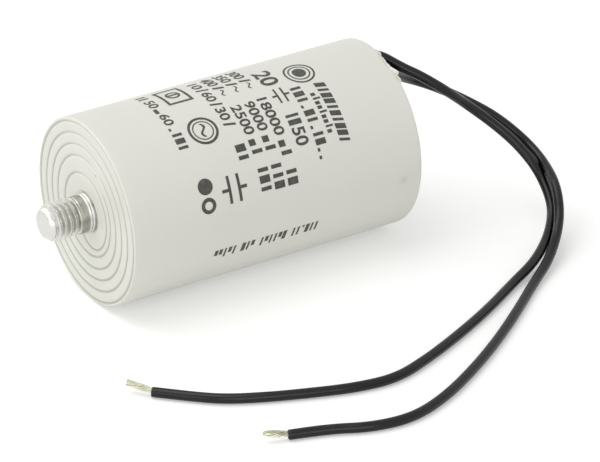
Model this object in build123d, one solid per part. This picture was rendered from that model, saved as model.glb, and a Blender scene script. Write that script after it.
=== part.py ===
"""Motor run capacitor: a film winding potted in a moulded plastic case, with a threaded
mounting stud in the closed end and two insulated leads out of the open end.

Units are millimetres. The case lies on its side along X, the stud points to -X and the
leads leave at +X. The origin is below the middle of the case and stud, on the surface
that the case lies on, and Z points up.
"""

from build123d import *
import math
import os

# Case, a moulded cup
case_diameter = 40.0
case_length = 68.5
case_wall = 1.3
case_floor = 2.6
case_edge_radius = 0.4
rim_inner_radius = 0.25

# Grooves in the closed end: rings that step inwards, then one spiral
ring_margin = 0.8
ring_pitch = 2.4
ring_count = 4
groove_tool_radius = 0.4
groove_depth = 0.28
spiral_radius = 8.1
spiral_growth = 0.6
spiral_lead_in_radius = 4.9

# Shallow notch in the open rim, where the leads come over it
notch_depth = 1.0
notch_start_angle = 8.0
notch_end_angle = 37.0

# Stud, moulded into the closed end with a flush collar and a hexagonal head
stud_diameter = 8.0
stud_free_length = 10.0
stud_tip_chamfer = 0.8
collar_diameter = 9.6
collar_thickness = 1.4
head_across_flats = 13.0
head_thickness = 4.0
boss_wall = 1.6
boss_cover = 1.4

# Ring wall inside the closed end that the winding stands on, clear of the boss
stand_ring_diameter = 24.0
stand_ring_wall = 1.6
stand_gap = 2.4

# Winding, its core tube and the metal sprayed on both of its ends
winding_clearance = 0.4
spray_thickness = 0.6
core_bore = 7.0
core_wall = 1.2

# Potting resin above the winding, and its creep up the wall beside the leads
resin_recess = 1.9
resin_depth = 8.0
creep_below_rim = 0.15
creep_width = 0.6
creep_margin_angle = 4.0
creep_outer_inset = 0.35

# Leads: insulated, stranded, soldered to the sprayed ends
lead_diameter = 2.1
conductor_diameter = 1.3
exit_wall_gap_a = 0.45
exit_wall_gap_b = 0.85
exit_angle_a = -4.4
exit_angle_b = 25.0
inner_bend_depth = 2.4
inner_bend_radius = 1.6
conductor_bend_radius = 1.2
insulation_end_gap = 1.2
solder_dome_diameter = 3.6
solder_dome_height = 2.0
solder_dome_edge = 0.6
near_solder_step = 5.0
far_solder_step = 2.6
strand_bundle_diameter = 1.4
strand_tip_diameter = 0.5

# Free route of each lead: the short run out of the resin, then corner by corner the
# distance past the resin, Y and Z. It droops in one wide bend to the surface that the
# case lies on.
exit_run_a = (3.3, -2.5, 0.2)
corners_a = [
    (6.1, -4.2, 36.4),
    (9.5, -6.9, 33.8),
    (15.2, -8.1, 29.5),
    (21.3, -7.5, 24.1),
    (25.8, -10.6, 19.9),
    (29.1, -15.4, 15.9),
    (30.5, -20.8, 11.0),
    (29.8, -27.4, 7.1),
    (24.6, -33.2, 4.2),
    (18.1, -38.0, 1.9),
    (10.0, -42.3, 1.1),
    (0.7, -48.0, 1.1),
    (-9.9, -53.5, 1.1),
    (-21.0, -58.5, 1.1),
    (-30.8, -61.9, 1.1),
    (-39.6, -60.8, 1.1),
    (-48.6, -57.8, 1.1),
    (-57.3, -54.4, 1.1),
    (-64.5, -50.8, 1.1),
    (-70.1, -45.9, 1.1),
    (-75.1, -41.0, 1.1),
]
exit_run_b = (3.5, 1.2, -0.6)
corners_b = [
    (8.7, -2.9, 32.0),
    (12.7, -2.4, 29.5),
    (17.0, -3.6, 27.5),
    (22.6, -5.1, 23.7),
    (27.9, -8.4, 19.8),
    (31.7, -13.6, 16.1),
    (33.2, -19.6, 13.3),
    (31.1, -27.3, 10.7),
    (27.5, -33.8, 6.6),
    (21.6, -39.1, 1.9),
    (13.5, -44.7, 1.1),
    (4.4, -52.3, 1.1),
    (-5.9, -60.2, 1.1),
    (-16.5, -67.3, 1.1),
    (-26.9, -73.1, 1.1),
    (-36.4, -76.3, 1.1),
    (-45.4, -75.0, 1.1),
    (-52.9, -71.1, 1.1),
    (-60.6, -69.0, 1.1),
]
strand_tips_a = [(-77.8, -35.8, 2.5), (-79.6, -38.1, 2.5)]
strand_tips_b = [(-65.5, -67.5, 2.2)]

# Sizes worked out from those above
case_radius = case_diameter / 2
cavity_radius = case_radius - case_wall
axis_z = case_radius
x_face = -(case_length - stud_free_length) / 2
x_rim = x_face + case_length
x_floor = x_face + case_floor
x_head = x_face + collar_thickness
x_boss = x_head + head_thickness + boss_cover
x_stand = x_boss + stand_gap
x_resin = x_rim - resin_recess
x_creep = x_rim - creep_below_rim
x_winding_top = x_resin - resin_depth
x_roll_start = x_stand + spray_thickness
x_roll_end = x_winding_top - spray_thickness
boss_radius = head_across_flats / math.sqrt(3) + boss_wall
stand_ring_radius = stand_ring_diameter / 2
winding_radius = cavity_radius - winding_clearance
core_radius = core_bore / 2 + core_wall
lead_radius = lead_diameter / 2
exit_radius_a = cavity_radius - lead_radius - exit_wall_gap_a
exit_radius_b = cavity_radius - lead_radius - exit_wall_gap_b
near_solder_radius = exit_radius_b - near_solder_step
notch_middle = (notch_start_angle + notch_end_angle) / 2
notch_half_angle = (notch_end_angle - notch_start_angle) / 2


def at_angle(x, radius, angle):
    """Point at a radius from the case's axis, its angle counted from the top to -Y."""
    turn = math.radians(angle)
    return Vector(x, -radius * math.sin(turn), axis_z + radius * math.cos(turn))


def across(x, y=0.0, z=axis_z):
    """Plane across the case's axis that faces +X, its angles counted from the top to -Y."""
    return Plane(origin=(x, y, z), x_dir=(0, 0, 1), z_dir=(1, 0, 0))


def disc(x_start, x_end, outer_radius, inner_radius=0.0):
    """Round slice about the case's axis, hollow if an inner radius is given."""
    section = Circle(outer_radius)
    if inner_radius > 0:
        section -= Circle(inner_radius)
    return extrude(across(x_start) * section, x_end - x_start)


def round_rod(path, diameter):
    """Rod of round section along a path."""
    start = Plane(origin=path @ 0, z_dir=path % 0)
    return sweep(start * Circle(diameter / 2), path=path)


def placed(corners):
    """Corners of a route as points of the part's own frame."""
    return [Vector(x_resin + past, y, z) for past, y, z in corners]


def cord_radii(points):
    """Largest even arc that the two runs beside each corner allow."""
    radii = []
    for before, corner, after in zip(points, points[1:], points[2:]):
        run_in = corner - before
        run_out = after - corner
        half_turn = math.radians(run_in.get_angle(run_out)) / 2
        shorter = min(run_in.length, run_out.length)
        radii.append(0.45 * shorter / math.tan(half_turn))
    return radii


exit_a = at_angle(x_resin, exit_radius_a, exit_angle_a)
exit_b = at_angle(x_resin, exit_radius_b, exit_angle_b)
route_a = [exit_a, exit_a + Vector(*exit_run_a)] + placed(corners_a)
route_b = [exit_b, exit_b + Vector(*exit_run_b)] + placed(corners_b)


def ring_grooves():
    """Tool for the round grooves of the closed end, stepping in from the edge."""
    tool_x = x_face - (groove_tool_radius - groove_depth)
    rings = []
    for step in range(ring_count):
        radius = case_radius - ring_margin - step * ring_pitch
        section = Plane.XZ * Pos(tool_x, radius) * Circle(groove_tool_radius)
        rings.append(Pos(0, 0, axis_z) * revolve(section, axis=Axis.X))
    return rings


def spiral_groove():
    """Tool for the inner groove: arcs that run into each other, each one wider."""
    turned = Vector(1, 0).rotate(Axis.Z, 60)
    lead_in_end = Vector(1, 0).rotate(Axis.Z, 310)
    lead_in_centre = lead_in_end * (spiral_radius - spiral_lead_in_radius)
    line = Wire(
        [
            CenterArc(lead_in_centre, spiral_lead_in_radius, 225, 85),
            CenterArc((0, 0), spiral_radius, 310, 110),
            CenterArc(turned * -spiral_growth, spiral_radius + spiral_growth, 60, 180),
            CenterArc(turned * spiral_growth / 2, spiral_radius + 2.5 * spiral_growth, 240, 165),
        ]
    )
    tool_x = x_face - (groove_tool_radius - groove_depth)
    face = Plane(origin=(tool_x, 0, axis_z), x_dir=(0, -1, 0), z_dir=(-1, 0, 0))
    return round_rod(face * line, 2 * groove_tool_radius)


def notch_tool():
    """Round bar across the rim that cuts the shallow notch beside the leads."""
    half_chord = case_radius * math.sin(math.radians(notch_half_angle))
    bar_radius = (half_chord**2 + notch_depth**2) / (2 * notch_depth)
    start = at_angle(x_rim + bar_radius - notch_depth, cavity_radius / 2, notch_middle)
    outward = at_angle(0, 1, notch_middle) - at_angle(0, 0, notch_middle)
    bar = Plane(origin=start, x_dir=(1, 0, 0), z_dir=outward) * Circle(bar_radius)
    return extrude(bar, case_radius)


def make_stud():
    """Stud turned in one piece, chamfered at its tip, with its hexagonal head inside."""
    shank = disc(x_face - stud_free_length, x_head, stud_diameter / 2)
    shank = chamfer(shank.edges().sort_by(Axis.X)[0], stud_tip_chamfer)
    collar = disc(x_face, x_head, collar_diameter / 2)
    outline = RegularPolygon(head_across_flats / 2, 6, major_radius=False)
    head = extrude(across(x_head) * outline, head_thickness)
    return shank + collar + head


def make_case(stud):
    """Moulded cup with its boss, the ring wall for the winding and the grooved end."""
    body = disc(x_face, x_rim, case_radius)
    body = fillet(body.edges().filter_by(GeomType.CIRCLE), case_edge_radius)
    body -= disc(x_floor, x_rim, cavity_radius)
    rim = body.edges().filter_by(GeomType.CIRCLE).group_by(Axis.X)[-1]
    body = fillet(rim.sort_by(SortBy.RADIUS)[0], rim_inner_radius)
    body += disc(x_floor, x_boss, boss_radius)
    body += disc(x_floor, x_stand, stand_ring_radius + stand_ring_wall, stand_ring_radius)
    body -= ring_grooves()
    body -= spiral_groove()
    body -= notch_tool()
    return body - stud


def make_winding():
    """Core tube, roll of film on it and the sprayed metal on both ends."""
    core = disc(x_stand, x_winding_top, core_radius, core_bore / 2)
    roll = disc(x_roll_start, x_roll_end, winding_radius, core_radius)
    stud_side = disc(x_stand, x_roll_start, winding_radius, core_radius)
    lead_side = disc(x_roll_end, x_winding_top, winding_radius, core_radius)
    return core, roll, stud_side, lead_side


def inner_start(route):
    """Point inside the resin that the lead reaches straight back from its exit."""
    back = (route[0] - route[1]).normalized()
    return route[0] + back * inner_bend_depth


def make_inner_a():
    """Lead A inside: across the resin, down the core and stripped at the far end."""
    first = inner_start(route_a)
    x_strip = x_stand + insulation_end_gap
    x_far = (x_boss + x_stand) / 2
    far_radius = core_radius + far_solder_step
    on_axis = [Vector(first.X, 0, axis_z), Vector(x_strip, 0, axis_z)]
    line = FilletPolyline(exit_a, first, *on_axis, radius=inner_bend_radius)
    bare_line = FilletPolyline(
        on_axis[1],
        Vector(x_far, 0, axis_z),
        at_angle(x_far, far_radius, 0),
        radius=conductor_bend_radius,
    )
    bare = round_rod(bare_line, conductor_diameter)
    dome = solder_dome(at_angle(x_stand, far_radius, 0), -1) - bare
    return round_rod(line, lead_diameter), bare, dome


def make_inner_b():
    """Lead B inside: a short way across the resin to the near sprayed end."""
    first = inner_start(route_b)
    angle = math.degrees(math.atan2(-first.Y, first.Z - axis_z))
    over_joint = at_angle(first.X, near_solder_radius, angle)
    x_strip = x_winding_top + solder_dome_height + insulation_end_gap / 2
    stripped = at_angle(x_strip, near_solder_radius, angle)
    joint = at_angle(x_winding_top, near_solder_radius, angle)
    line = FilletPolyline(exit_b, first, over_joint, stripped, radius=inner_bend_radius)
    bare_end = at_angle(x_winding_top + insulation_end_gap / 2, near_solder_radius, angle)
    bare = round_rod(Line(stripped, bare_end), conductor_diameter)
    dome = solder_dome(joint, 1) - bare
    return round_rod(line, lead_diameter), bare, dome


def solder_dome(foot, way):
    """Solder joint that stands on a sprayed end, towards +X or -X."""
    section = across(foot.X, foot.Y, foot.Z) * Circle(solder_dome_diameter / 2)
    dome = extrude(section, way * solder_dome_height)
    edges = dome.edges().filter_by(GeomType.CIRCLE).sort_by(Axis.X)
    return fillet(edges[-1] if way > 0 else edges[0], solder_dome_edge)


def make_resin(embedded):
    """Resin disc over the winding, crept up the wall and into the notch by the leads."""
    fill = disc(x_winding_top, x_resin, cavity_radius)
    creep = disc(x_resin, x_creep, cavity_radius, cavity_radius - creep_width)
    reach = 2 * case_radius
    start = notch_start_angle - creep_margin_angle
    end = notch_end_angle + creep_margin_angle
    wedge = Polygon(
        (0, 0),
        Vector(reach, 0).rotate(Axis.Z, start),
        Vector(reach, 0).rotate(Axis.Z, end),
        align=None,
    )
    creep &= extrude(across(x_resin) * wedge, resin_recess)
    in_notch = disc(x_resin, x_creep, case_radius - creep_outer_inset, cavity_radius)
    in_notch &= notch_tool()
    return fill + creep + in_notch - embedded


def make_lead(route):
    """Free insulated stretch of a lead, each corner rounded as widely as its runs allow."""
    radii = cord_radii(route)
    path = FilletPolyline(*route, radius=radii)
    tube = round_rod(path, lead_diameter)
    by_section = tube.volume / (math.pi * lead_radius**2)
    print("corner radii", [round(radius, 1) for radius in radii])
    print("length", round(path.length, 2), "volume over section", round(by_section, 2))
    return tube


def make_strands(route, corners):
    """Bare end of a lead: a tapered bundle of strands to each tip."""
    tips = placed(corners)
    side = Vector(0, 0, 1).cross(route[-1] - route[-2]).normalized()
    radius = strand_bundle_diameter / 2 / len(tips)
    bundles = []
    for number, tip in enumerate(tips):
        foot = route[-1] + side * radius * (2 * number + 1 - len(tips))
        way = tip - foot
        taper = Cone(
            radius,
            strand_tip_diameter / 2,
            way.length,
            align=(Align.CENTER, Align.CENTER, Align.MIN),
        )
        bundles.append(Plane(origin=foot, z_dir=way) * taper)
    return Part() + bundles


stud = make_stud()
case = make_case(stud)
core, roll, stud_side_spray, lead_side_spray = make_winding()
inner_a, conductor_a, far_solder = make_inner_a()
inner_b, conductor_b, near_solder = make_inner_b()
lead_a = make_lead(route_a)
lead_b = make_lead(route_b)
resin = make_resin([inner_a, inner_b, conductor_b, near_solder, lead_a, lead_b])
strands_a = make_strands(route_a, strand_tips_a) - lead_a
strands_b = make_strands(route_b, strand_tips_b) - lead_b

nodes = {
    "case": case,
    "mounting_stud": stud,
    "winding_core": core,
    "film_winding": roll,
    "stud_side_spray": stud_side_spray,
    "lead_side_spray": lead_side_spray,
    "potting_resin": resin,
    "lead_a_inner": inner_a,
    "lead_a_conductor": conductor_a,
    "far_solder": far_solder,
    "lead_b_inner": inner_b,
    "lead_b_conductor": conductor_b,
    "near_solder": near_solder,
    "lead_a": lead_a,
    "lead_b": lead_b,
    "lead_a_strands": strands_a,
    "lead_b_strands": strands_b,
}

os.makedirs("parts", exist_ok=True)
for name, shape in nodes.items():
    export_step(shape, f"parts/{name}.step")
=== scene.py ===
"""Motor run capacitor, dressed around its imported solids.

Lengths are in metres, in the frame of the solids: the case lies along X, with its stud
towards -X and its leads towards +X, on a surface at z = 0.
"""

import math

import bpy
import numpy as np
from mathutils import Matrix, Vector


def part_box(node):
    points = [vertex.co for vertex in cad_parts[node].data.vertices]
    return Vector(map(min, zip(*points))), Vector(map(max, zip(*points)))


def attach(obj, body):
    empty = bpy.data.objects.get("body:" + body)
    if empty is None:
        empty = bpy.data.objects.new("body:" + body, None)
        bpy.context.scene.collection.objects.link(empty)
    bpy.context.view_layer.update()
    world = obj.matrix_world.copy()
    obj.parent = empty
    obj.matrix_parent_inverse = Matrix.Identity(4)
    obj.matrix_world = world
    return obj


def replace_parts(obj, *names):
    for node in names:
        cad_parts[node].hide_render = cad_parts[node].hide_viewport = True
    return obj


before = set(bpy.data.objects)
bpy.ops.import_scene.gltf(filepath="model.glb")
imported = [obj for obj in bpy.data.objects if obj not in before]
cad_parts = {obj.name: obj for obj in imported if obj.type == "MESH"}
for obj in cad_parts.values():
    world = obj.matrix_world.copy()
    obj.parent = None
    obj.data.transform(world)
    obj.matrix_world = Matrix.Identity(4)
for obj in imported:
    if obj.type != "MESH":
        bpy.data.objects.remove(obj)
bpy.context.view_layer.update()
mm = 0.001


# Case
# One cup moulded in pale grey polypropylene. Its closed end has four ring grooves and
# one spiral groove, and a boss inside that holds the stud's hexagonal head. Its open rim
# has a shallow notch where the leads come out.
x_face, x_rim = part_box("case")[0].x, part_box("case")[1].x
case_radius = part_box("case")[1].z / 2
case_wall = 1.3 * mm
case_floor = 2.6 * mm
cavity_radius = case_radius - case_wall
edge_radius = 0.4 * mm
rim_inner_radius = 0.25 * mm
notch_angles = np.radians([8, 12, 17, 21, 23.5, 25.5, 30, 37])
notch_dips = np.array([0, 0.5, 0.65, 0.78, 0.65, 0.3, 0.25, 0]) * mm
notch_blend = 5 * mm
collar_radius = 4.8 * mm
x_head, x_head_end = x_face + 1.4 * mm, x_face + 5.4 * mm
x_boss, x_stand = x_face + 6.8 * mm, x_face + 9.2 * mm
boss_radius = 9.1 * mm
stand_ring_inner, stand_ring_outer = 12.0 * mm, 13.6 * mm
head_across_flats = 13.0 * mm
outer_ring_inset, ring_pitch = 0.8 * mm, 2.4 * mm
ring_radii = case_radius - outer_ring_inset - ring_pitch * np.arange(4)
groove_depth = 0.17 * mm
groove_half_width = 0.5 * mm
land_drop = 0.09 * mm
land_reach = 0.5 * mm
spiral_turn = np.exp(1j * math.radians(60))
# Each arc of the spiral: its centre, its radius, and its start and sweep in degrees.
spiral_arcs = [
    (3.2 * mm * np.exp(1j * math.radians(310)), 4.9 * mm, 225, 85),
    (0, 8.1 * mm, 310, 110),
    (-0.6 * mm * spiral_turn, 8.7 * mm, 60, 180),
    (0.3 * mm * spiral_turn, 9.6 * mm, 240, 165),
]
gate_place = 11.3 * mm * np.exp(1j * math.radians(67))
gate_reach, gate_flattening = 1.5 * mm, 0.75
# Share of the grooves' painted shade taken off at the lit top of the end, and its width.
lit_top, lit_top_width = 0.55, 0.35
rub_along, rub_angle = 64 * mm, math.radians(94)
case_columns = 336
spiral_row_step, ring_zone = 0.085 * mm, 1.25 * mm
axis_gap = 0.02 * mm


def about_axis(x, radius, angle):
    """Points at a distance from the case's axis, the angle counted from the top to -Y."""
    y = -radius * np.sin(angle)
    z = case_radius + radius * np.cos(angle)
    return np.stack(np.broadcast_arrays(x, y, z), axis=-1)


def turns(count):
    """Angles of that many columns round the axis, evenly spaced."""
    return np.arange(count) * 2 * math.pi / count


def joined(shells):
    """Points and faces of several closed grids of points, as one list of each.

    Each grid has rows that go round. Its first and last rows each close in a fan of
    triangles about their own middle point, so that the shell has no opening.
    """
    points, faces, placed = [], [], 0
    for rows in shells:
        count, around = rows.shape[:2]
        own = placed + np.arange(count * around).reshape(count, around)
        beside = np.roll(own, -1, axis=1)
        quads = np.stack([own[:-1], beside[:-1], beside[1:], own[1:]], axis=-1)
        faces += quads.reshape(-1, 4).tolist()
        first, last = placed + count * around, placed + count * around + 1
        faces += [[first, b, a] for a, b in zip(own[0].tolist(), beside[0].tolist())]
        faces += [[last, a, b] for a, b in zip(own[-1].tolist(), beside[-1].tolist())]
        points += [rows.reshape(-1, 3), rows[:1].mean(axis=1), rows[-1:].mean(axis=1)]
        placed = last + 1
    return np.concatenate(points), faces


def piece(name, points, faces, slot):
    """Mesh object in the frame of the solids, smooth except across edges over 40 degrees."""
    mesh = bpy.data.meshes.new(name)
    mesh.from_pydata(points, [], faces)
    mesh.polygons.foreach_set("use_smooth", np.ones(len(mesh.polygons), bool))
    mesh.set_sharp_from_angle(angle=math.radians(40))
    made = bpy.data.objects.new(name, mesh)
    bpy.context.scene.collection.objects.link(made)
    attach(made, "root")
    return made


def mark(made, name, values):
    """Number or vector of each point, for the piece's material to read."""
    values = np.asarray(values, np.float32)
    kind, field = ("FLOAT", "value") if values.ndim == 1 else ("FLOAT_VECTOR", "vector")
    held = made.data.attributes.new(name, kind, "POINT")
    held.data.foreach_set(field, values.ravel())


def arc_distance(place, centre, radius, start, sweep):
    """Distance in the plane from an arc: off its circle beside it, else off its nearer end."""
    start, sweep = math.radians(start), math.radians(sweep)
    offset = place - centre
    beside = np.mod(np.angle(offset) - start, 2 * math.pi) <= sweep
    ends = centre + radius * np.exp(1j * np.array([start, start + sweep]))
    past = np.minimum(abs(place - ends[0]), abs(place - ends[1]))
    return np.where(beside, abs(abs(offset) - radius), past)


def grooves(radius, angle):
    """Depth of the closed end's relief at a place, and the groove's own share of it.

    The groove is a raised cosine across each ring and across the arcs of the spiral.
    The lands between fall towards it as an exponential of the distance. Both fade where
    the gate's vestige has flattened the end.
    """
    place = radius * np.exp(1j * (math.pi / 2 - angle))
    gaps = [abs(radius - ring_radius) + 0 * angle for ring_radius in ring_radii]
    gap = np.min(gaps + [arc_distance(place, *arc) for arc in spiral_arcs], axis=0)
    fade = 1 - gate_flattening * np.exp(-((abs(place - gate_place) / gate_reach) ** 2))
    share = (0.5 + 0.5 * np.cos(math.pi * np.minimum(gap / groove_half_width, 1))) * fade
    return groove_depth * share + land_drop * np.exp(-gap / land_reach) * fade, share


def end_rows():
    """Radii of the rows on the closed end: even over the spiral, closer at each ring.

    About a ring they lie closest over the groove, and wider on the lands beside it.
    """
    over_groove = np.linspace(-0.54, 0.54, 15)
    about_ring = np.concatenate([[-1.2, -0.95, -0.72], over_groove, [0.72, 0.95]]) * mm
    rings = [ring_radius + about_ring for ring_radius in ring_radii[::-1]]
    inner = np.arange(collar_radius, ring_radii[-1] - ring_zone, spiral_row_step)
    rows = np.concatenate([inner, *rings])
    return rows[rows < case_radius - edge_radius]


def notch_dip(angle):
    """How far the rim dips at an angle: straight between the notch's named places."""
    return np.interp(angle, notch_angles, notch_dips)


def hexagon(angle, across_flats):
    """Radius of a hexagon at an angle, with a corner at the top."""
    return across_flats / 2 / np.cos(np.mod(angle, math.pi / 3) - math.pi / 6)


def straight(corners, steps):
    """Rows of a profile on straight lines from corner to corner, without the last corner.

    Each corner is a place along the axis and a distance from it. Each line has its own
    number of steps.
    """
    rows = []
    for (x0, r0), (x1, r1), count in zip(corners, corners[1:], steps):
        rows += [(x0 + (x1 - x0) * s, r0 + (r1 - r0) * s) for s in np.arange(count) / count]
    return rows


def rounded(x, r, radius, start, end, steps):
    """Rows of a profile along an arc; 0 degrees points to +X and 90 away from the axis."""
    angles = np.radians(np.linspace(start, end, steps + 1))[:-1]
    return [(x + radius * math.cos(a), r + radius * math.sin(a)) for a in angles]


def make_case():
    """The cup's whole skin as one profile carried round the axis.

    It runs from the pocket round the stud's head, out over the grooved end, along the
    side, over the rim, down the wall and over the boss back to the axis. The grooves
    push rows of the end inwards and the notch pulls rows of the rim back.
    """
    angle = turns(case_columns)[None, :]
    hex_radius = head_across_flats / 2
    hex_corner, head_corner = (x_head_end, hex_radius), (x_head, hex_radius)
    pocket = straight([(x_head_end, axis_gap), hex_corner, head_corner], (3, 3))
    collar = straight([head_corner, (x_head, collar_radius), (x_face, collar_radius)], (1, 3))
    end = [(x_face, row) for row in end_rows()]
    land, lip = case_radius - edge_radius, cavity_radius + rim_inner_radius
    x_side, x_blend, x_outer = x_face + edge_radius, x_rim - notch_blend, x_rim - edge_radius
    side = rounded(x_side, land, edge_radius, 180, 90, 6)
    places = [(x, case_radius) for x in (x_side, x_blend, x_outer)]
    side += straight(places, (14, 10))
    rim = rounded(x_outer, land, edge_radius, 90, 0, 6)
    rim += straight([(x_rim, land), (x_rim, lip)], (2,))
    rim += rounded(x_rim - rim_inner_radius, lip, rim_inner_radius, 0, -90, 4)
    x_floor = x_face + case_floor
    places = [(x, cavity_radius) for x in (x_rim - rim_inner_radius, x_blend, x_floor)]
    places += [(x_floor, stand_ring_outer), (x_stand, stand_ring_outer)]
    places += [(x_stand, stand_ring_inner), (x_floor, stand_ring_inner)]
    places += [(x_floor, boss_radius), (x_boss, boss_radius), (x_boss, axis_gap)]
    wall = straight(places, (8, 6, 2, 2, 1, 2, 1, 2, 3)) + places[-1:]
    profile = np.array(pocket + collar + end + side + rim + wall)
    x, radius = profile[:, :1] + 0 * angle, profile[:, 1:] + 0 * angle
    on_head = slice(3, len(pocket) + 1)
    radius[on_head] *= hexagon(angle, head_across_flats) / hex_radius
    first = len(pocket) + len(collar)
    on_end = slice(first, first + len(end))
    share = np.zeros(x.shape)
    depth, share[on_end] = grooves(radius[on_end], angle)
    x[on_end] += depth
    # Painted shade by groove share, less at the top of the end where light falls.
    share[on_end] *= 1 - lit_top * np.exp(-((np.sin(angle / 2) / lit_top_width) ** 2))
    blend = (profile[:, :1] - x_blend) / (notch_blend - edge_radius)
    x = x - notch_dip(angle) * np.clip(blend, 0, 1)
    made = piece("case_shell", *joined([about_axis(x, radius, angle)]), "case_plastic")
    # Groove share for the painted shade in the material.
    mark(made, "groove", np.append(share.ravel(), [0, 0]))
    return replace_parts(made, "case")


def node(tree, kind, inputs=(), **settings):
    """Node of a material; each input takes a value or another node's output."""
    made = tree.nodes.new("ShaderNode" + kind)
    for name, value in settings.items():
        setattr(made, name, value)
    for name, value in dict(inputs).items():
        if isinstance(value, bpy.types.NodeSocket):
            tree.links.new(value, made.inputs[name])
        else:
            made.inputs[name].default_value = value
    return made


def material(name, **sockets):
    """Material with one Principled surface, and the node tree to add its pattern to."""
    made = bpy.data.materials.new(name)
    made.use_nodes = True
    surface = made.node_tree.nodes["Principled BSDF"]
    for socket, value in sockets.items():
        surface.inputs[socket.replace("_", " ")].default_value = value
    return made, made.node_tree, surface.inputs


def noise(tree, place, scale, detail, roughness=0.5):
    """Noise of that many waves a metre, as a number from 0 to 1."""
    inputs = {"Vector": place, "Scale": scale, "Detail": detail, "Roughness": roughness}
    return node(tree, "TexNoise", inputs).outputs["Fac"]


def spread(tree, value, low, high, to_low, to_high):
    """A number moved from one range to another, smoothly and without going past it."""
    inputs = {"Value": value, "From Min": low, "From Max": high}
    inputs |= {"To Min": to_low, "To Max": to_high}
    return node(tree, "MapRange", inputs, interpolation_type="SMOOTHSTEP").outputs["Result"]


def mixed(tree, share, one, other):
    """Colour between two others: inputs 0, 6 and 7 of a Mix node are its share and colours."""
    made = node(tree, "Mix", data_type="RGBA", blend_type="MIX")
    for place, value in ((0, share), (6, one), (7, other)):
        if isinstance(value, bpy.types.NodeSocket):
            tree.links.new(value, made.inputs[place])
        else:
            made.inputs[place].default_value = value
    return made.outputs[2]


def shade(red, green, blue):
    """Colour that renders as these three screen values from 0 to 255."""
    screen = np.array([red, green, blue]) / 255
    linear = np.where(screen < 0.04045, screen / 12.92, ((screen + 0.055) / 1.055) ** 2.4)
    return (*linear.tolist(), 1.0)


def patchy_gloss(tree, place, sockets, scale, detail, low, high):
    """Roughness that wanders between two values, in patches of that many waves a metre."""
    wander = spread(tree, noise(tree, place, scale, detail), 0.3, 0.7, low, high)
    tree.links.new(wander, sockets["Roughness"])


def bumped(tree, sockets, height, strength, distance):
    """Fine relief on a surface, from a height that a pattern gives."""
    inputs = {"Height": height, "Strength": strength, "Distance": distance}
    tree.links.new(node(tree, "Bump", inputs).outputs["Normal"], sockets["Normal"])


def paint_case(made):
    """Satin moulded plastic: a faint cloudiness, fine grain, painted shade in the
    grooves, the small dark vestige of the gate and one faint rub mark on the side."""
    finish, tree, sockets = material("case_plastic", IOR=1.49)
    place = node(tree, "TexCoord").outputs["Object"]
    cloud = noise(tree, place, 45, 3)
    base = mixed(tree, cloud, shade(228, 228, 219), shade(234, 234, 226))
    # Painted shade: the grooves darken by their share.
    groove = node(tree, "Attribute", attribute_name="groove").outputs["Fac"]
    base = mixed(tree, spread(tree, groove, 0.15, 0.9, 0, 0.7), base, shade(170, 170, 155))
    gate = about_axis(x_face, abs(gate_place), math.pi / 2 - np.angle(gate_place))
    rub = about_axis(x_face + rub_along, case_radius, rub_angle)
    for spot, reach, share in ((gate, 0.45 * mm, 0.55), (rub, 1.6 * mm, 0.16)):
        away = node(tree, "VectorMath", {0: place, 1: tuple(spot)}, operation="DISTANCE")
        near = spread(tree, away.outputs["Value"], 0, reach, share, 0)
        base = mixed(tree, near, base, shade(120, 122, 118))
    tree.links.new(base, sockets["Base Color"])
    patchy_gloss(tree, place, sockets, 220, 3, 0.36, 0.48)
    bumped(tree, sockets, noise(tree, place, 2600, 3, 0.6), 0.25, 0.02 * mm)
    made.data.materials.append(finish)


case = make_case()
paint_case(case)


# Print on the side
# Dark grey pad-printed ink on the upper front of the case, laid out in rows across it
# with a line of marks lower down. It is only plain numerals, bars and simple figures.
ink_height = 0.045 * mm
patch_step = 0.5
stroke_weight, numeral_steps = 0.022, 5


def wrapped(flat):
    """Points laid on the side: millimetres round it from the top, then along it."""
    around, along = flat[:, 0] * mm, flat[:, 1] * mm
    return about_axis(x_face + along, case_radius + ink_height, around / case_radius)


def patch(length, shape):
    """Grid of two shares from 0 to 1, turned into flat points by a shape's formula."""
    columns, rows = max(2, int(np.ceil(length / patch_step)) + 1), 3
    u, v = np.meshgrid(np.linspace(0, 1, columns), np.linspace(0, 1, rows))
    flat = np.stack(shape(u, v), axis=-1).reshape(-1, 2)
    own = np.arange(columns * rows).reshape(rows, columns)
    corners = [own[:-1, :-1], own[:-1, 1:], own[1:, 1:], own[1:, :-1]]
    return flat, np.stack(corners, axis=-1).reshape(-1, 4).tolist()


def bar(first, last, low, high, slant=0.0):
    """Bar between two places round the side and two along it, its end leaning over."""

    def shape(u, v):
        return first + (last - first) * u + slant * v, low + (high - low) * v

    return patch(last - first, shape)


def ring(around, along, outer, inner):
    """Ring about a place; an inner radius of zero makes a disc."""

    def shape(u, v):
        turn, reach = 2 * math.pi * u, inner + (outer - inner) * v
        return around + reach * np.cos(turn), along + reach * np.sin(turn)

    return patch(2 * math.pi * outer, shape)


def wave(around, along, size=1.1):
    """Plain sign for alternating current: one wave of a sine, a third as high as long."""
    swing, thickness = 0.34, 0.34

    def shape(u, v):
        rise = swing * np.sin(2 * math.pi * u) + thickness * (v - 0.5)
        return around + size * (2 * u - 1), along + size * rise

    return patch(8 * size, shape)


def rectangle(first, last, low, high, line):
    """Outline of a rectangle in four bars, each as wide as the line."""
    return [
        bar(first, last, low, low + line),
        bar(first, last, high - line, high),
        bar(first, first + line, low + line, high - line),
        bar(last - line, last, low + line, high - line),
    ]


def two_plates(around, along, size):
    """Plain sign for a capacitor: two plates across two short wires."""
    plate, wire, gap = 0.22 * size, 0.12 * size, 0.28 * size
    return [
        bar(around - size, around + size, along + gap, along + gap + plate),
        bar(around - size, around + size, along - gap - plate, along - gap),
        bar(around - wire, around + wire, along + gap + plate, along + size),
        bar(around - wire, around + wire, along - size, along - gap - plate),
    ]


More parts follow.
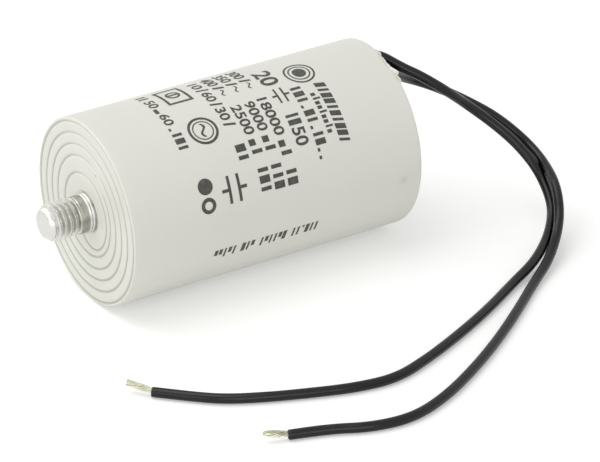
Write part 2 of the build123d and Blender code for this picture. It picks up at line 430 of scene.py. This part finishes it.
def marks(pattern, first, last, low, high, slant=0.0):
    """Row of plain strokes in equal cells: wide, narrow, low, dot, or an empty cell."""
    strokes = {"W": (0.8, 1.0), "n": (0.42, 1.0), "o": (0.7, 0.62), ".": (0.45, 0.24)}
    cell = (last - first) / len(pattern)
    row = []
    for number, kind in enumerate(pattern):
        if kind in strokes:
            width, height = strokes[kind]
            left = first + cell * (number + 0.5 - width / 2)
            top = low + (high - low) * height
            row.append(bar(left, left + cell * width, low, top, slant * height))
    return row


def numerals(text, first, last, low, high):
    """Plain numerals fitted between two places round the side and two along it."""
    outline = bpy.data.curves.new("numerals", "FONT")
    outline.body = text
    outline.offset = stroke_weight
    outline.resolution_u = numeral_steps
    holder = bpy.data.objects.new("numerals", outline)
    bpy.context.scene.collection.objects.link(holder)
    seen = holder.evaluated_get(bpy.context.evaluated_depsgraph_get())
    mesh = bpy.data.meshes.new_from_object(seen)
    flat = np.zeros(len(mesh.vertices) * 3)
    mesh.vertices.foreach_get("co", flat)
    faces = [list(face.vertices) for face in mesh.polygons]
    bpy.data.objects.remove(holder)
    bpy.data.curves.remove(outline)
    bpy.data.meshes.remove(mesh)
    flat = flat.reshape(-1, 3)[:, :2]
    share = (flat - flat.min(axis=0)) / np.ptp(flat, axis=0)
    return np.array([first, low]) + share * np.array([last - first, high - low]), faces


def heading():
    """A ringed disc, two rows of strokes beside it and one row below."""
    around, along = 2.6, 49.2
    radii = ((3.35, 2.95), (1.5, 0.0), (2.4, 2.1))
    figures = [ring(around, along, outer, inner) for outer, inner in radii]
    figures += marks("WnWWnWnWWn", 6.6, 21.0, 50.1, 52.5, 0.5)
    figures += marks("onoonoono", 8.9, 18.6, 48.0, 49.7)
    return figures + marks("nWn.Wn.nW..", 6.0, 23.6, 44.6, 47.0)


def main_row():
    """The largest numeral, the capacitor's sign and a second numeral behind strokes."""
    low, high = 40.3, 43.3
    figures = [numerals("20", -1.7, 4.1, 40.0, 44.0), *two_plates(7.4, 42.0, 2.0)]
    figures += marks("nW", 12.0, 15.0, low, high)
    return figures + [numerals("50", 15.4, 19.4, low, high)]


def rating_rows():
    """Three rows alike: a numeral, a stroke, a wave, a longer numeral and more strokes."""
    ratings = (("300", "18000", "on nW"), ("350", "9000", "on nnW"), ("400", "2500", "on nWn"))
    top_row, row_pitch, height = 36.4, 3.15, 2.4
    digit_width = 1.85
    figures = []
    for row, (left, right, rest) in enumerate(ratings):
        low = top_row - row_pitch * row
        high = low + height
        end = 6.8 + digit_width * len(right)
        figures.append(numerals(left, -6.2, -1.2, low, high))
        figures += marks("n", -0.9, 0.7, low, high, 0.5)
        figures.append(wave(2.2, low + 1.1))
        figures.append(numerals(right, 6.8, end, low, high))
        figures += marks(rest, end + 0.8, 26.8, low, high)
    return figures


def divided_row():
    """Three numerals, each with a leaning stroke behind it, and two strokes."""
    low, high, pitch = 26.8, 29.1, 5.7
    figures = []
    for number, text in enumerate(("10", "60", "30")):
        left = -5.2 + pitch * number
        figures.append(numerals(text, left, left + 3.5, low, high))
        figures.append(bar(left + 4.1, left + 4.6, low - 0.2, high + 0.2, 0.5))
    return figures + marks("Wn", 15.4, 19.4, low, high)


def signs():
    """A ringed wave, a framed ring and stroke, the capacitor's sign, a disc and a ring."""
    along = 21.9
    figures = [ring(10.5, along, 3.3, 2.75), ring(10.5, along, 2.3, 2.05)]
    figures.append(wave(10.5, along, 1.6))
    figures += rectangle(-6.0, 1.6, 19.0, 24.8, 0.6)
    figures += [ring(-2.2, along, 1.6, 1.1), bar(-2.5, -1.9, along - 1, along + 1)]
    figures += two_plates(24.0, 24.1, 2.9)
    return figures + [ring(22.0, 17.7, 1.7, 0.0), ring(26.0, 17.7, 1.7, 0.9)]


def last_row():
    """Two numerals with strokes before, between and behind them."""
    low, high = 15.0, 17.2
    figures = [*marks("nn", -6.2, -3.4, low, high), numerals("50", -2.4, 1.0, low, high)]
    figures += marks("W", 1.4, 3.4, low, 15.9)
    figures.append(numerals("60", 3.8, 7.2, low, high))
    return figures + marks(".nWn", 7.6, 13.8, low, high)


def sidelong_row():
    """A row of strokes turned by a right angle, which runs along the case lower down."""
    row = marks("nnW.nn Wonnon onW nonoo", 0, 25.0, 37.0, 39.3, 0.35)
    return [(np.stack([flat[:, 1], 44.0 - flat[:, 0]], axis=-1), faces) for flat, faces in row]


def make_print():
    """All printed figures, in millimetres round the side and along it, as one thin skin."""
    rows = (heading, main_row, rating_rows, divided_row, signs, last_row, sidelong_row)
    points, faces, placed = [], [], 0
    for flat, own in (figure for row in rows for figure in row()):
        points.append(wrapped(flat))
        faces += [[placed + corner for corner in face] for face in own]
        placed += len(flat)
    return piece("case_print", np.concatenate(points), faces, "case_plastic")


def paint_print(made):
    """Dark grey ink, a little worn: paler where it is thin, in patches and in specks."""
    finish, tree, sockets = material("printing_ink", Roughness=0.5, IOR=1.5)
    place = node(tree, "TexCoord").outputs["Object"]
    thin = spread(tree, noise(tree, place, 900, 4, 0.65), 0.45, 0.8, 0, 0.6)
    ink = mixed(tree, thin, shade(66, 65, 60), shade(112, 112, 105))
    tree.links.new(ink, sockets["Base Color"])
    made.data.materials.append(finish)


case_print = make_print()
paint_print(case_print)


# Mounting stud
# One turned steel part, bright zinc plated: an M8 thread with a chamfered tip, a short
# plain shank, a flush collar and, moulded into the boss, a hexagonal head.
stud_radius = 4.0 * mm
x_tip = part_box("mounting_stud")[0].x
thread_pitch = 1.25 * mm
thread_depth = 0.7 * mm
thread_start, thread_end = x_tip + 0.5 * mm, x_face - 2.7 * mm
run_in, run_out = 0.5 * thread_pitch, 0.7 * thread_pitch
root_share, flank_share = 0.07, 0.34
tip_flat, tip_round = 2.75 * mm, 0.5 * mm
dish_depth, dish_border = 0.16 * mm, 0.4 * mm
chamfer_length = 1.35 * mm
bead_length, bead_swell, bead_rise = 1.1 * mm, 0.14 * mm, 0.2 * mm
stud_columns, shank_rows, bead_rows = 144, 150, 24
# How much darker the plating is, at these distances from the face out towards the tip.
darkening_places = x_face - np.array([9.6, 8.7, 3.3, 2.9, 1.4, 1.0]) * mm
darkening_shares = [0, 0.2, 0.55, 0.95, 0.95, 0.45]


def thread_cut(x, angle):
    """Depth of the thread under its crests: a flattened V that climbs one pitch a turn
    and grows from nothing over a part of a pitch at either end."""
    phase = np.mod(x / thread_pitch - angle / (2 * math.pi), 1)
    flank = np.clip((abs(phase - 0.5) - root_share) / flank_share, 0, 1)
    fade_in = np.clip((x - thread_start) / run_in, 0, 1)
    fade_out = np.clip((thread_end - x) / run_out, 0, 1)
    return thread_depth * (1 - flank) * fade_in * fade_out


def make_stud():
    """The stud's skin as one profile carried round its axis, from the tip to the head.

    The tip is a shallow dish with a rounded edge and a chamfer. A bead swells where the
    shank meets the face. The thread's depth is taken from the radius between them.
    """
    angle = turns(stud_columns)[None, :]
    hex_radius = head_across_flats / 2
    x_dish, dish_radius = x_tip + dish_depth, tip_flat - dish_border
    tip = straight([(x_dish, axis_gap), (x_dish, dish_radius), (x_tip, tip_flat)], (8, 5))
    tip += rounded(x_tip + tip_round, tip_flat, tip_round, 180, 110, 9)
    x_shank, x_bead = x_tip + chamfer_length, x_face - bead_length
    tip += straight([tip[-1], (x_shank, stud_radius)], (5,))[1:]
    shank = straight([(x_shank, stud_radius), (x_bead, stud_radius)], (shank_rows,))
    share = np.arange(bead_rows) / bead_rows
    swell = bead_swell * np.sin(2 * math.pi * share) ** 2 + bead_rise * share
    bead = list(zip(x_bead + bead_length * share, stud_radius + swell))
    places = [(x_face, stud_radius + bead_rise), (x_face, collar_radius)]
    places += [(x_head, collar_radius), (x_head, hex_radius)]
    collar = straight(places, (4, 2, 1))
    places = [(x_head, hex_radius), (x_head_end, hex_radius), (x_head_end, axis_gap)]
    head = straight(places, (3, 3)) + places[-1:]
    profile = np.array(tip + shank + bead + collar + head)
    x, radius = profile[:, :1] + 0 * angle, profile[:, 1:] + 0 * angle
    threaded = slice(0, len(tip + shank + bead))
    radius[threaded] -= thread_cut(x[threaded], angle)
    first = len(tip + shank + bead + collar)
    on_head = slice(first, first + 4)
    radius[on_head] *= hexagon(angle, head_across_flats) / hex_radius
    made = piece("threaded_stud", *joined([about_axis(x, radius, angle)]), "stud_metal")
    # Darker towards the face, most on the plain shank and at the thread's end.
    darkening = np.interp(x, darkening_places, darkening_shares)
    mark(made, "darkening", np.append(darkening.ravel(), [0, 0]))
    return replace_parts(made, "mounting_stud")


def paint_stud(made):
    """Bright plating with a faint cloudiness, darker and mottled on the plain shank and
    at the thread's end, towards the face."""
    finish, tree, sockets = material("bright_plating", Metallic=1.0)
    place = node(tree, "TexCoord").outputs["Object"]
    tone = mixed(tree, noise(tree, place, 500, 3), shade(204, 204, 200), shade(219, 219, 215))
    darkening = node(tree, "Attribute", attribute_name="darkening").outputs["Fac"]
    # Mottled darkening, scaled by how far towards the face a point is.
    worn = spread(tree, noise(tree, place, 450, 3), 0.35, 0.65, 0.35, 0.85)
    worn = node(tree, "Math", {0: darkening, 1: worn}, operation="MULTIPLY").outputs[0]
    tone = mixed(tree, worn, tone, shade(152, 149, 136))
    tree.links.new(tone, sockets["Base Color"])
    patchy_gloss(tree, place, sockets, 700, 2, 0.26, 0.36)
    made.data.materials.append(finish)


stud = make_stud()
paint_stud(stud)


# Winding, core, sprayed ends and solder joints
# Sealed inside the case and the resin: metallised film wound on a plastic core tube, zinc
# sprayed on both ends of the roll, and the leads' tinned ends soldered to it.
sprayed = ("sprayed_metal", (160, 160, 158), 0.9, 0.7, 2500)
soldered = ("solder", (172, 173, 174), 1.0, 0.3, 700)
sheathed = ("lead_insulation", (38, 37, 37), 0.0, 0.45, 900)
stripped = ("tinned_copper", (205, 203, 186), 1.0, 0.35, 3000)
inner_finishes = {
    "winding_core": ("core_plastic", (188, 188, 182), 0.0, 0.55, 900),
    "film_winding": ("metallised_film", (186, 189, 194), 0.85, 0.28, 4000),
    "stud_side_spray": sprayed,
    "lead_side_spray": sprayed,
    "far_solder": soldered,
    "near_solder": soldered,
    "lead_a_inner": sheathed,
    "lead_b_inner": sheathed,
    "lead_a_conductor": stripped,
    "lead_b_conductor": stripped,
}


def paint_inner(name, slot, tone, metallic, roughness, grain):
    """Finish of one sealed piece: a share of metal, a gloss, and its tone broken up by a
    grain of that many waves a metre."""
    finish, tree, sockets = material(name + "_finish", Metallic=metallic, Roughness=roughness)
    place = node(tree, "TexCoord").outputs["Object"]
    pattern = noise(tree, place, grain, 3)
    darker = shade(*(0.85 * value for value in tone))
    tree.links.new(mixed(tree, pattern, darker, shade(*tone)), sockets["Base Color"])
    bumped(tree, sockets, pattern, 0.3, 0.02 * mm)
    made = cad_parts[name]
    made.data.materials.clear()
    made.data.materials.append(finish)


for inner_name, inner_finish in inner_finishes.items():
    paint_inner(inner_name, *inner_finish)


# Potting resin
# Cream casting resin poured over the winding. It stands a little below the rim, wets the
# wall and the leads, and has crept up the wall and into the notch beside them.
x_resin = x_rim - 1.9 * mm
x_resin_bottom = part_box("potting_resin")[0].x
lead_diameter = 2.1 * mm
exit_a = about_axis(x_resin, 17.5 * mm, math.radians(-7.7))
exit_b = about_axis(x_resin, 16.8 * mm, math.radians(25))
wall_rise, wall_reach = 0.42 * mm, 0.5 * mm
lead_rise, lead_reach = 0.55 * mm, 0.35 * mm
unevenness = 0.06 * mm
resin_columns = 540
creep_radius = case_radius - 0.12 * mm
creep_angles = [3, 5, 7, 9.5, 12, 15, 19, 21.5, 24, 25.8, 27.2, 28.4, 30, 32, 33.8, 36]
creep_angles = np.radians(creep_angles)
creep_heights = [0, 0.55, 0.55, 0.6, 0.6, 0.7, 0.8, 0.95, 1.05, 1.3, 1.45, 0.75, 0.75, 0.85, 0.7, 0]
creep_heights = np.array(creep_heights) * mm
creep_depth, creep_inward = 0.9 * mm, 0.55 * mm
creep_blend, creep_raggedness = 0.1 * mm, 0.1 * mm
creep_rows, creep_columns = 150, 24


def ripple(angle, counts, seed):
    """Uneven line from -1 to 1: a few sines of whole counts a turn, with fixed phases."""
    phases = np.random.default_rng(seed).uniform(0, 2 * math.pi, len(counts))
    waves = [np.sin(count * angle + phase) for count, phase in zip(counts, phases)]
    return np.sum(waves, axis=0) / len(counts)


def resin_disc():
    """Rows of the cast disc: flat underneath, and a little uneven on top.

    The top rises to the wall, and to each lead, as an exponential of the distance.
    """
    angle = turns(resin_columns)[None, :]
    shares = np.concatenate([np.linspace(0.05, 0.76, 12), np.linspace(0.77, 0.999, 34)])
    inward = cavity_radius * shares[::-1, None]
    rise = wall_rise * (1 + 0.3 * ripple(angle, (3, 5, 11), 4))
    top = x_resin + rise * np.exp(-(cavity_radius - inward) / wall_reach)
    top += unevenness * ripple(angle, (2, 3), 7) * np.sin(math.pi * inward / cavity_radius)
    level = about_axis(x_resin, inward, angle)
    away = np.minimum(*(np.linalg.norm(level - lead, axis=-1) for lead in (exit_a, exit_b)))
    top += lead_rise * np.exp(-np.maximum(away - lead_diameter / 2, 0) / lead_reach)
    under = np.array([0.05, 0.5, 0.999])[:, None] * cavity_radius
    x = np.concatenate([x_resin_bottom + 0 * (under + angle), top])
    radius = np.concatenate([under + 0 * angle, inward + 0 * angle])
    return about_axis(x, radius, angle)


def crept_strip():
    """Rows of the ragged strip over the notch's floor, from its far end back.

    Its section is a rounded box that shrinks to nothing at both ends, and that reaches
    outwards only above the floor.
    """
    angle = np.linspace(creep_angles[0], creep_angles[-1], creep_rows)[:, None]
    share = np.linspace(0, 1, creep_rows)[:, None]
    swell = np.sqrt(np.clip(12 * share * (1 - share), 0, 1))
    ragged = 1 + 0.18 * ripple(angle, (60, 97, 151), 5)
    floor = x_rim - notch_dip(angle)
    top = floor + np.interp(angle, creep_angles, creep_heights) * ragged
    low = floor - creep_depth * swell
    section = turns(creep_columns)[None, :]
    box_x, box_r = (np.sign(f) * abs(f) ** 0.5 for f in (np.cos(section), np.sin(section)))
    x = (top + low) / 2 + (top - low) / 2 * box_x
    above = np.clip((x - floor) / creep_blend, 0, 1)
    outward = (creep_radius - creep_raggedness * ragged - cavity_radius) * above
    radius = cavity_radius + np.where(box_r > 0, outward, creep_inward * swell) * box_r
    return about_axis(x, radius, angle)[::-1]


def make_resin():
    """The cast disc and the strip that has crept over the notch, as one piece."""
    made = piece("resin_fill", *joined([resin_disc(), crept_strip()]), "resin")
    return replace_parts(made, "potting_resin")


def paint_resin(made):
    """Cream resin, glossy, with fine pits and a slightly cloudy tone."""
    finish, tree, sockets = material("cream_resin", Roughness=0.35, IOR=1.52)
    place = node(tree, "TexCoord").outputs["Object"]
    tone = mixed(tree, noise(tree, place, 260, 4), shade(251, 247, 232), shade(255, 253, 244))
    tree.links.new(tone, sockets["Base Color"])
    bumped(tree, sockets, noise(tree, place, 1400, 3), 0.25, 0.05 * mm)
    made.data.materials.append(finish)


resin = make_resin()
paint_resin(resin)


# Leads
# Two flexible leads in black PVC, 2.1 mm across. They come out of the resin side by side,
# cross once, droop in a wide bend to the surface and end stripped, towards the stud.
lead_sides, lead_row_step = 28, 0.6 * mm
body_share, cut_share = 0.998, 0.985
slow_waver, quick_waver = 0.010, 0.006
cut_edge = 0.13 * mm
bore_depths = np.array([0, 0.6, 1.6]) * mm
bore_radii = np.array([0.84, 0.66, 0.594]) * mm
exit_run_a = (3.2, -1.9, 0.5)
corners_a = [
    (7.2, -4.0, 35.0),
    (10.1, -5.9, 33.4),
    (14.7, -8.8, 29.9),
    (20.8, -8.1, 24.5),
    (25.3, -11.3, 20.3),
    (29.0, -15.5, 16.0),
    (31.2, -20.5, 11.2),
    (30.2, -27.3, 6.5),
    (25.5, -32.8, 3.6),
    (17.7, -39.0, 2.3),
    (10.0, -42.3, 1.1),
    (0.7, -48.0, 1.1),
    (-9.9, -53.5, 1.1),
    (-21.0, -58.5, 1.1),
    (-30.8, -61.9, 1.1),
    (-39.6, -60.8, 1.1),
    (-48.6, -57.8, 1.1),
    (-57.3, -54.4, 1.1),
    (-64.5, -50.8, 1.1),
    (-70.1, -45.9, 1.1),
    (-75.1, -41.0, 1.1),
]
exit_run_b = (4.9, 3.8, -1.2)
corners_b = [
    (10.1, -0.6, 30.4),
    (14.1, -0.3, 28.3),
    (18.0, -2.1, 26.4),
    (22.6, -5.1, 23.7),
    (28.0, -8.4, 19.9),
    (32.4, -12.4, 15.2),
    (33.1, -19.0, 12.7),
    (30.5, -28.1, 11.3),
    (28.2, -32.8, 5.8),
    (21.3, -39.3, 2.2),
    (13.5, -44.7, 1.1),
    (4.4, -52.3, 1.1),
    (-5.9, -60.2, 1.1),
    (-16.5, -67.3, 1.1),
    (-26.9, -73.1, 1.1),
    (-36.4, -76.3, 1.1),
    (-45.4, -75.0, 1.1),
    (-52.9, -71.1, 1.1),
    (-60.6, -69.0, 1.1),
]


def route(exit_point, exit_run, corners):
    """A lead's points: its exit, the end of its first run, then its corners, which are in
    millimetres past the resin, across the case and above the surface."""
    placed = np.array(corners) * mm + np.array([x_resin, 0, 0])
    return np.vstack([exit_point, exit_point + np.array(exit_run) * mm, placed])


def centreline(points, step):
    """Evenly spaced points on the smooth spline that a route steers, from end to end."""
    curve = bpy.data.curves.new("centreline", "CURVE")
    curve.dimensions = "3D"
    curve.resolution_u = 16
    spline = curve.splines.new("NURBS")
    spline.points.add(len(points) - 1)
    spline.points.foreach_set("co", np.insert(points, 3, 1, axis=1).ravel())
    spline.order_u = 3
    spline.use_endpoint_u = True
    holder = bpy.data.objects.new("centreline", curve)
    mesh = bpy.data.meshes.new_from_object(holder)
    line = np.zeros(len(mesh.vertices) * 3)
    mesh.vertices.foreach_get("co", line)
    bpy.data.objects.remove(holder)
    bpy.data.curves.remove(curve)
    bpy.data.meshes.remove(mesh)
    line = line.reshape(-1, 3)
    whole = travel(line)[-1]
    return read_along(line, line, np.append(np.arange(0, whole, step), whole))


def travel(line):
    """Length along a line at each of its points."""
    return np.append(0, np.cumsum(np.linalg.norm(np.diff(line, axis=0), axis=1)))


def read_along(line, values, lengths):
    """Values that go with a line's points, read at given lengths along the line."""
    travelled = travel(line)
    return np.stack([np.interp(lengths, travelled, column) for column in values.T], axis=-1)


def sideways(line):
    """Two directions across a line at each point: one level, one at right angles to it."""
    ahead = np.gradient(line, axis=0)
    ahead /= np.linalg.norm(ahead, axis=1, keepdims=True)
    level = np.cross(ahead, [0, 0, 1])
    level /= np.linalg.norm(level, axis=1, keepdims=True)
    return level, np.cross(level, ahead)


def tube(line, lengths, radii, sides):
    """Rows of a round tube: at each length along the line, a circle of that radius.

    The radii are one for each row, or one for each point of each row.
    """
    middle, level, upright = (
        read_along(line, values, lengths)[:, None] for values in (line, *sideways(line))
    )
    angle = turns(sides)[None, :, None]
    reach = np.reshape(radii, (len(lengths), -1, 1))
    return middle + reach * (level * np.cos(angle) + upright * np.sin(angle))


def make_lead(name, points, seed):
    """Insulation of one lead: a tube along its spline, cut square at the stripped end.

    The tube's radius wavers by up to sixteen parts in a thousand. At the cut the skin
    turns over a small round edge, crosses the wall and goes back down the bore, where it
    closes. Each point keeps its length along the lead and its place across it.
    """
    line = centreline(points, lead_row_step)
    whole = travel(line)[-1]
    radius = lead_diameter / 2
    angle = turns(lead_sides)[None, :]
    along = np.arange(0, whole - 0.2 * mm, lead_row_step)
    share = along[:, None] / whole
    waver = slow_waver * ripple(share, (23, 61, 97, 131), seed)
    waver = waver + quick_waver * ripple(40 * share + 2 * angle, (1, 2), seed + 1)
    turn = np.radians(np.linspace(0, 90, 5))
    end_lengths = np.append(whole - cut_edge * (1 - np.sin(turn)), whole - bore_depths)
    end_radii = np.append(radius * cut_share - cut_edge * (1 - np.cos(turn)), bore_radii)
    rows = [
        tube(line, [0.0], [radius / 2], lead_sides),
        tube(line, along, radius * (body_share + waver), lead_sides),
        tube(line, end_lengths, end_radii, lead_sides),
    ]
    made = piece(name, *joined([np.concatenate(rows)]), "lead_insulation")
    lengths = np.concatenate([[0], along, end_lengths])[:, None]
    across = radius * np.cos(angle), radius * np.sin(angle)
    lie = np.stack(np.broadcast_arrays(lengths, *across), axis=-1).reshape(-1, 3)
    mark(made, "lie", np.vstack([lie, [[0, 0, 0], [whole, 0, 0]]]))
    return made, line


def make_insulation_finish():
    """Black PVC, satin: long faint draw lines, patchy gloss and a little pale dust."""
    finish, tree, sockets = material("black_pvc", Specular_IOR_Level=0.34)
    place = node(tree, "Attribute", attribute_name="lie").outputs["Vector"]
    drawn = node(tree, "Mapping", {"Vector": place, "Scale": (120, 2600, 2600)}).outputs["Vector"]
    dust = spread(tree, noise(tree, place, 700, 4, 0.7), 0.52, 0.8, 0, 0.2)
    tone = mixed(tree, dust, shade(6, 7, 7), shade(50, 50, 48))
    tree.links.new(tone, sockets["Base Color"])
    patchy_gloss(tree, place, sockets, 300, 3, 0.18, 0.3)
    bumped(tree, sockets, noise(tree, drawn, 1.0, 3), 0.35, 0.04 * mm)
    return finish


insulation = make_insulation_finish()
points_a = route(exit_a, exit_run_a, corners_a)
points_b = route(exit_b, exit_run_b, corners_b)
lead_a, line_a = make_lead("lead_a_insulation", points_a, seed=11)
lead_b, line_b = make_lead("lead_b_insulation", points_b, seed=23)
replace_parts(lead_a, "lead_a")
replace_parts(lead_b, "lead_b")
lead_a.data.materials.append(insulation)
lead_b.data.materials.append(insulation)


# Stripped ends of the leads
# Nineteen tinned copper strands in each lead, laid round one another, about 0.24 mm each.
# Lead A's are opened into a small fan, and lead B's bulge and close again to a point.
strand_radius = 0.12 * mm
strand_pitch = 2.05 * strand_radius
strand_sink = 1.2 * mm
strand_rows, strand_sides = 26, 8
lean_spread, length_spread, lay_spread = 0.12, 0.035, 0.2
fan_tips = [(-77.8, -35.8, 2.45), (-79.6, -38.1, 2.45)]
spindle_tip = (-65.5, -67.5, 2.2)


def strand_places():
    """Places of nineteen strands across a round bundle: one, six round it and twelve."""
    rings = [(0, 1, 0.0), (1, 6, 0.0), (2, 12, math.pi / 12)]
    return np.concatenate([n * np.exp(1j * (turns(count) + start)) for n, count, start in rings])


def make_bare_end(name, line, tips, spread_of, lay, seed):
    """Strands from inside the lead's bore to the tips, each a thin tube.

    A strand runs along the way to its tip. Across it, its place in the bundle is turned
    by the lay, leans aside with the square of the share of the length, and is scaled by
    the spread at that share.
    """
    foot = read_along(line, line, [travel(line)[-1] - strand_sink])[0]
    ends = np.array(tips) * mm + np.array([x_resin, 0, 0])
    ahead = ends.mean(axis=0) - foot
    level = np.cross(ahead, [0, 0, 1])
    level /= np.linalg.norm(level)
    upright = np.cross(level, ahead / np.linalg.norm(ahead))
    share = np.linspace(0, 1, strand_rows)
    wide, high = spread_of(share)
    draw = np.random.default_rng(seed)
    shells = []
    for place in strand_places():
        lean = draw.normal(0, lean_spread, 2)
        reach = 1 - abs(draw.normal(0, length_spread))
        turned = place * np.exp(1j * (lay * share + lay_spread * lean[0]))
        turned += (lean[0] + 1j * lean[1]) * share**2
        across = strand_pitch * (turned.real * wide + 1j * turned.imag * high)
        way = np.outer(share * reach, ahead) + foot
        own = way + np.outer(across.real, level) + np.outer(across.imag, upright)
        radii = np.full(strand_rows, strand_radius)
        shells.append(tube(own, travel(own), radii, strand_sides))
    return piece(name, *joined(shells), "tinned_copper")


def fan(share):
    """Spread of lead A's strands: pinched in the bore, then a low fan up to the tips."""
    opened = np.interp(share, [0.15, 0.45, 1], [0.72, 1.3, 1.55])
    return opened, opened * (1 - 0.3 * share)


def spindle(share):
    """Spread of lead B's strands: fullest halfway, pinched in the bore and at the tips."""
    full = np.interp(share, [0.15, 0.35, 0.55, 0.8, 1], [0.72, 1.2, 1.42, 1.2, 0.8])
    return full, full * 0.95


def make_tin_finish():
    """Tinned copper: bright and slightly yellow, duller and darker in patches."""
    finish, tree, sockets = material("tinned_strand", Metallic=1.0, Roughness=0.3)
    place = node(tree, "TexCoord").outputs["Object"]
    tone = mixed(tree, noise(tree, place, 1800, 3), shade(150, 150, 126), shade(234, 235, 210))
    tree.links.new(tone, sockets["Base Color"])
    bumped(tree, sockets, noise(tree, place, 5000, 2), 0.3, 0.01 * mm)
    return finish


tinned = make_tin_finish()
bare_a = make_bare_end("lead_a_bare_end", line_a, fan_tips, fan, lay=1.6, seed=31)
bare_b = make_bare_end("lead_b_bare_end", line_b, [spindle_tip], spindle, lay=2.6, seed=47)
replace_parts(bare_a, "lead_a_strands")
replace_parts(bare_b, "lead_b_strands")
bare_a.data.materials.append(tinned)
bare_b.data.materials.append(tinned)


# Studio
# A plain white floor under soft light from four panels: overhead, towards the stud, in
# front and behind. The camera stands where the photograph was taken from, with a long
# lens.
floor_half = 1.5
view_azimuth, view_elevation = math.radians(-31.6), math.radians(29.0)
view_distance = 0.9329
view_aim = (0.00475, 0.0, 0.020)
aim_right, aim_up = 0.01455, -0.01244
lens_length, sensor_width = 270.6, 36.0
room_light, floor_glow = 0.42, 0.3
# Each panel: its place, the length of its sides, and its power.
panels = {
    "panel_over": ((-0.25, 0.1, 0.75), 0.7, 2.7),
    "panel_left": ((-0.75, -0.35, 0.3), 0.5, 0.9),
    "panel_front": ((-0.3, -0.85, 0.35), 0.6, 1.6),
    "panel_behind": ((-0.45, 0.85, 0.5), 0.6, 1.8),
}


def white_behind(tree, lit, extra):
    """Light for every ray, and more for the rays that only look at a surface."""
    look = node(tree, "LightPath").outputs
    seen = look["Is Camera Ray"]
    for kind in ("Is Glossy Ray", "Is Transmission Ray"):
        seen = node(tree, "Math", {0: seen, 1: look[kind]}, operation="MAXIMUM").outputs[0]
    terms = {0: seen, 1: extra, 2: lit}
    return node(tree, "Math", terms, operation="MULTIPLY_ADD").outputs[0]


def make_floor():
    """Level sheet at z = 0 that stays white where nothing shades it."""
    corners = floor_half * np.array([(-1, -1, 0), (1, -1, 0), (1, 1, 0), (-1, 1, 0)], float)
    mesh = bpy.data.meshes.new("floor")
    mesh.from_pydata(corners, [], [[0, 1, 2, 3]])
    made = bpy.data.objects.new("floor", mesh)
    bpy.context.scene.collection.objects.link(made)
    finish, tree, sockets = material("floor_paper", Roughness=0.9)
    sockets["Base Color"].default_value = shade(244, 244, 243)
    sockets["Emission Color"].default_value = (1, 1, 1, 1)
    tree.links.new(white_behind(tree, 0.0, floor_glow), sockets["Emission Strength"])
    mesh.materials.append(finish)


def make_world():
    """Even light from all round, which looks white itself."""
    world = bpy.data.worlds.new("studio")
    world.use_nodes = True
    tree = world.node_tree
    sky = tree.nodes["Background"].inputs
    tree.links.new(white_behind(tree, room_light, 1 - room_light), sky["Strength"])
    sky["Color"].default_value = (1, 1, 1, 1)
    bpy.context.scene.world = world


def make_lamp(name, place, size, power):
    """Square soft panel that points at the middle of the case."""
    lamp = bpy.data.lights.new(name, "AREA")
    lamp.size, lamp.energy = size, power
    made = bpy.data.objects.new(name, lamp)
    made.location = place
    towards = np.array([0, 0, case_radius]) - np.array(place)
    made.rotation_euler = Vector(towards).to_track_quat("-Z", "Y").to_euler()
    bpy.context.scene.collection.objects.link(made)


def make_camera():
    """Camera at the photograph's angle, level, with neither shift nor blur."""
    azimuth, elevation = view_azimuth, view_elevation
    away = np.array([math.sin(azimuth), -math.cos(azimuth), 0]) * math.cos(elevation)
    back = away + np.array([0, 0, math.sin(elevation)])
    right = np.array([math.cos(azimuth), math.sin(azimuth), 0])
    aim = np.array(view_aim) + right * aim_right + np.cross(back, right) * aim_up
    lens = bpy.data.cameras.new("camera")
    lens.lens, lens.sensor_width = lens_length, sensor_width
    lens.clip_start, lens.clip_end = 0.01, 10
    made = bpy.data.objects.new("camera", lens)
    made.location = aim + back * view_distance
    made.rotation_euler = Vector(-back).to_track_quat("-Z", "Y").to_euler()
    bpy.context.scene.collection.objects.link(made)
    bpy.context.scene.camera = made


make_floor()
make_world()
for panel_name, panel in panels.items():
    make_lamp(panel_name, *panel)
make_camera()
bpy.context.scene.view_settings.view_transform = "Standard"
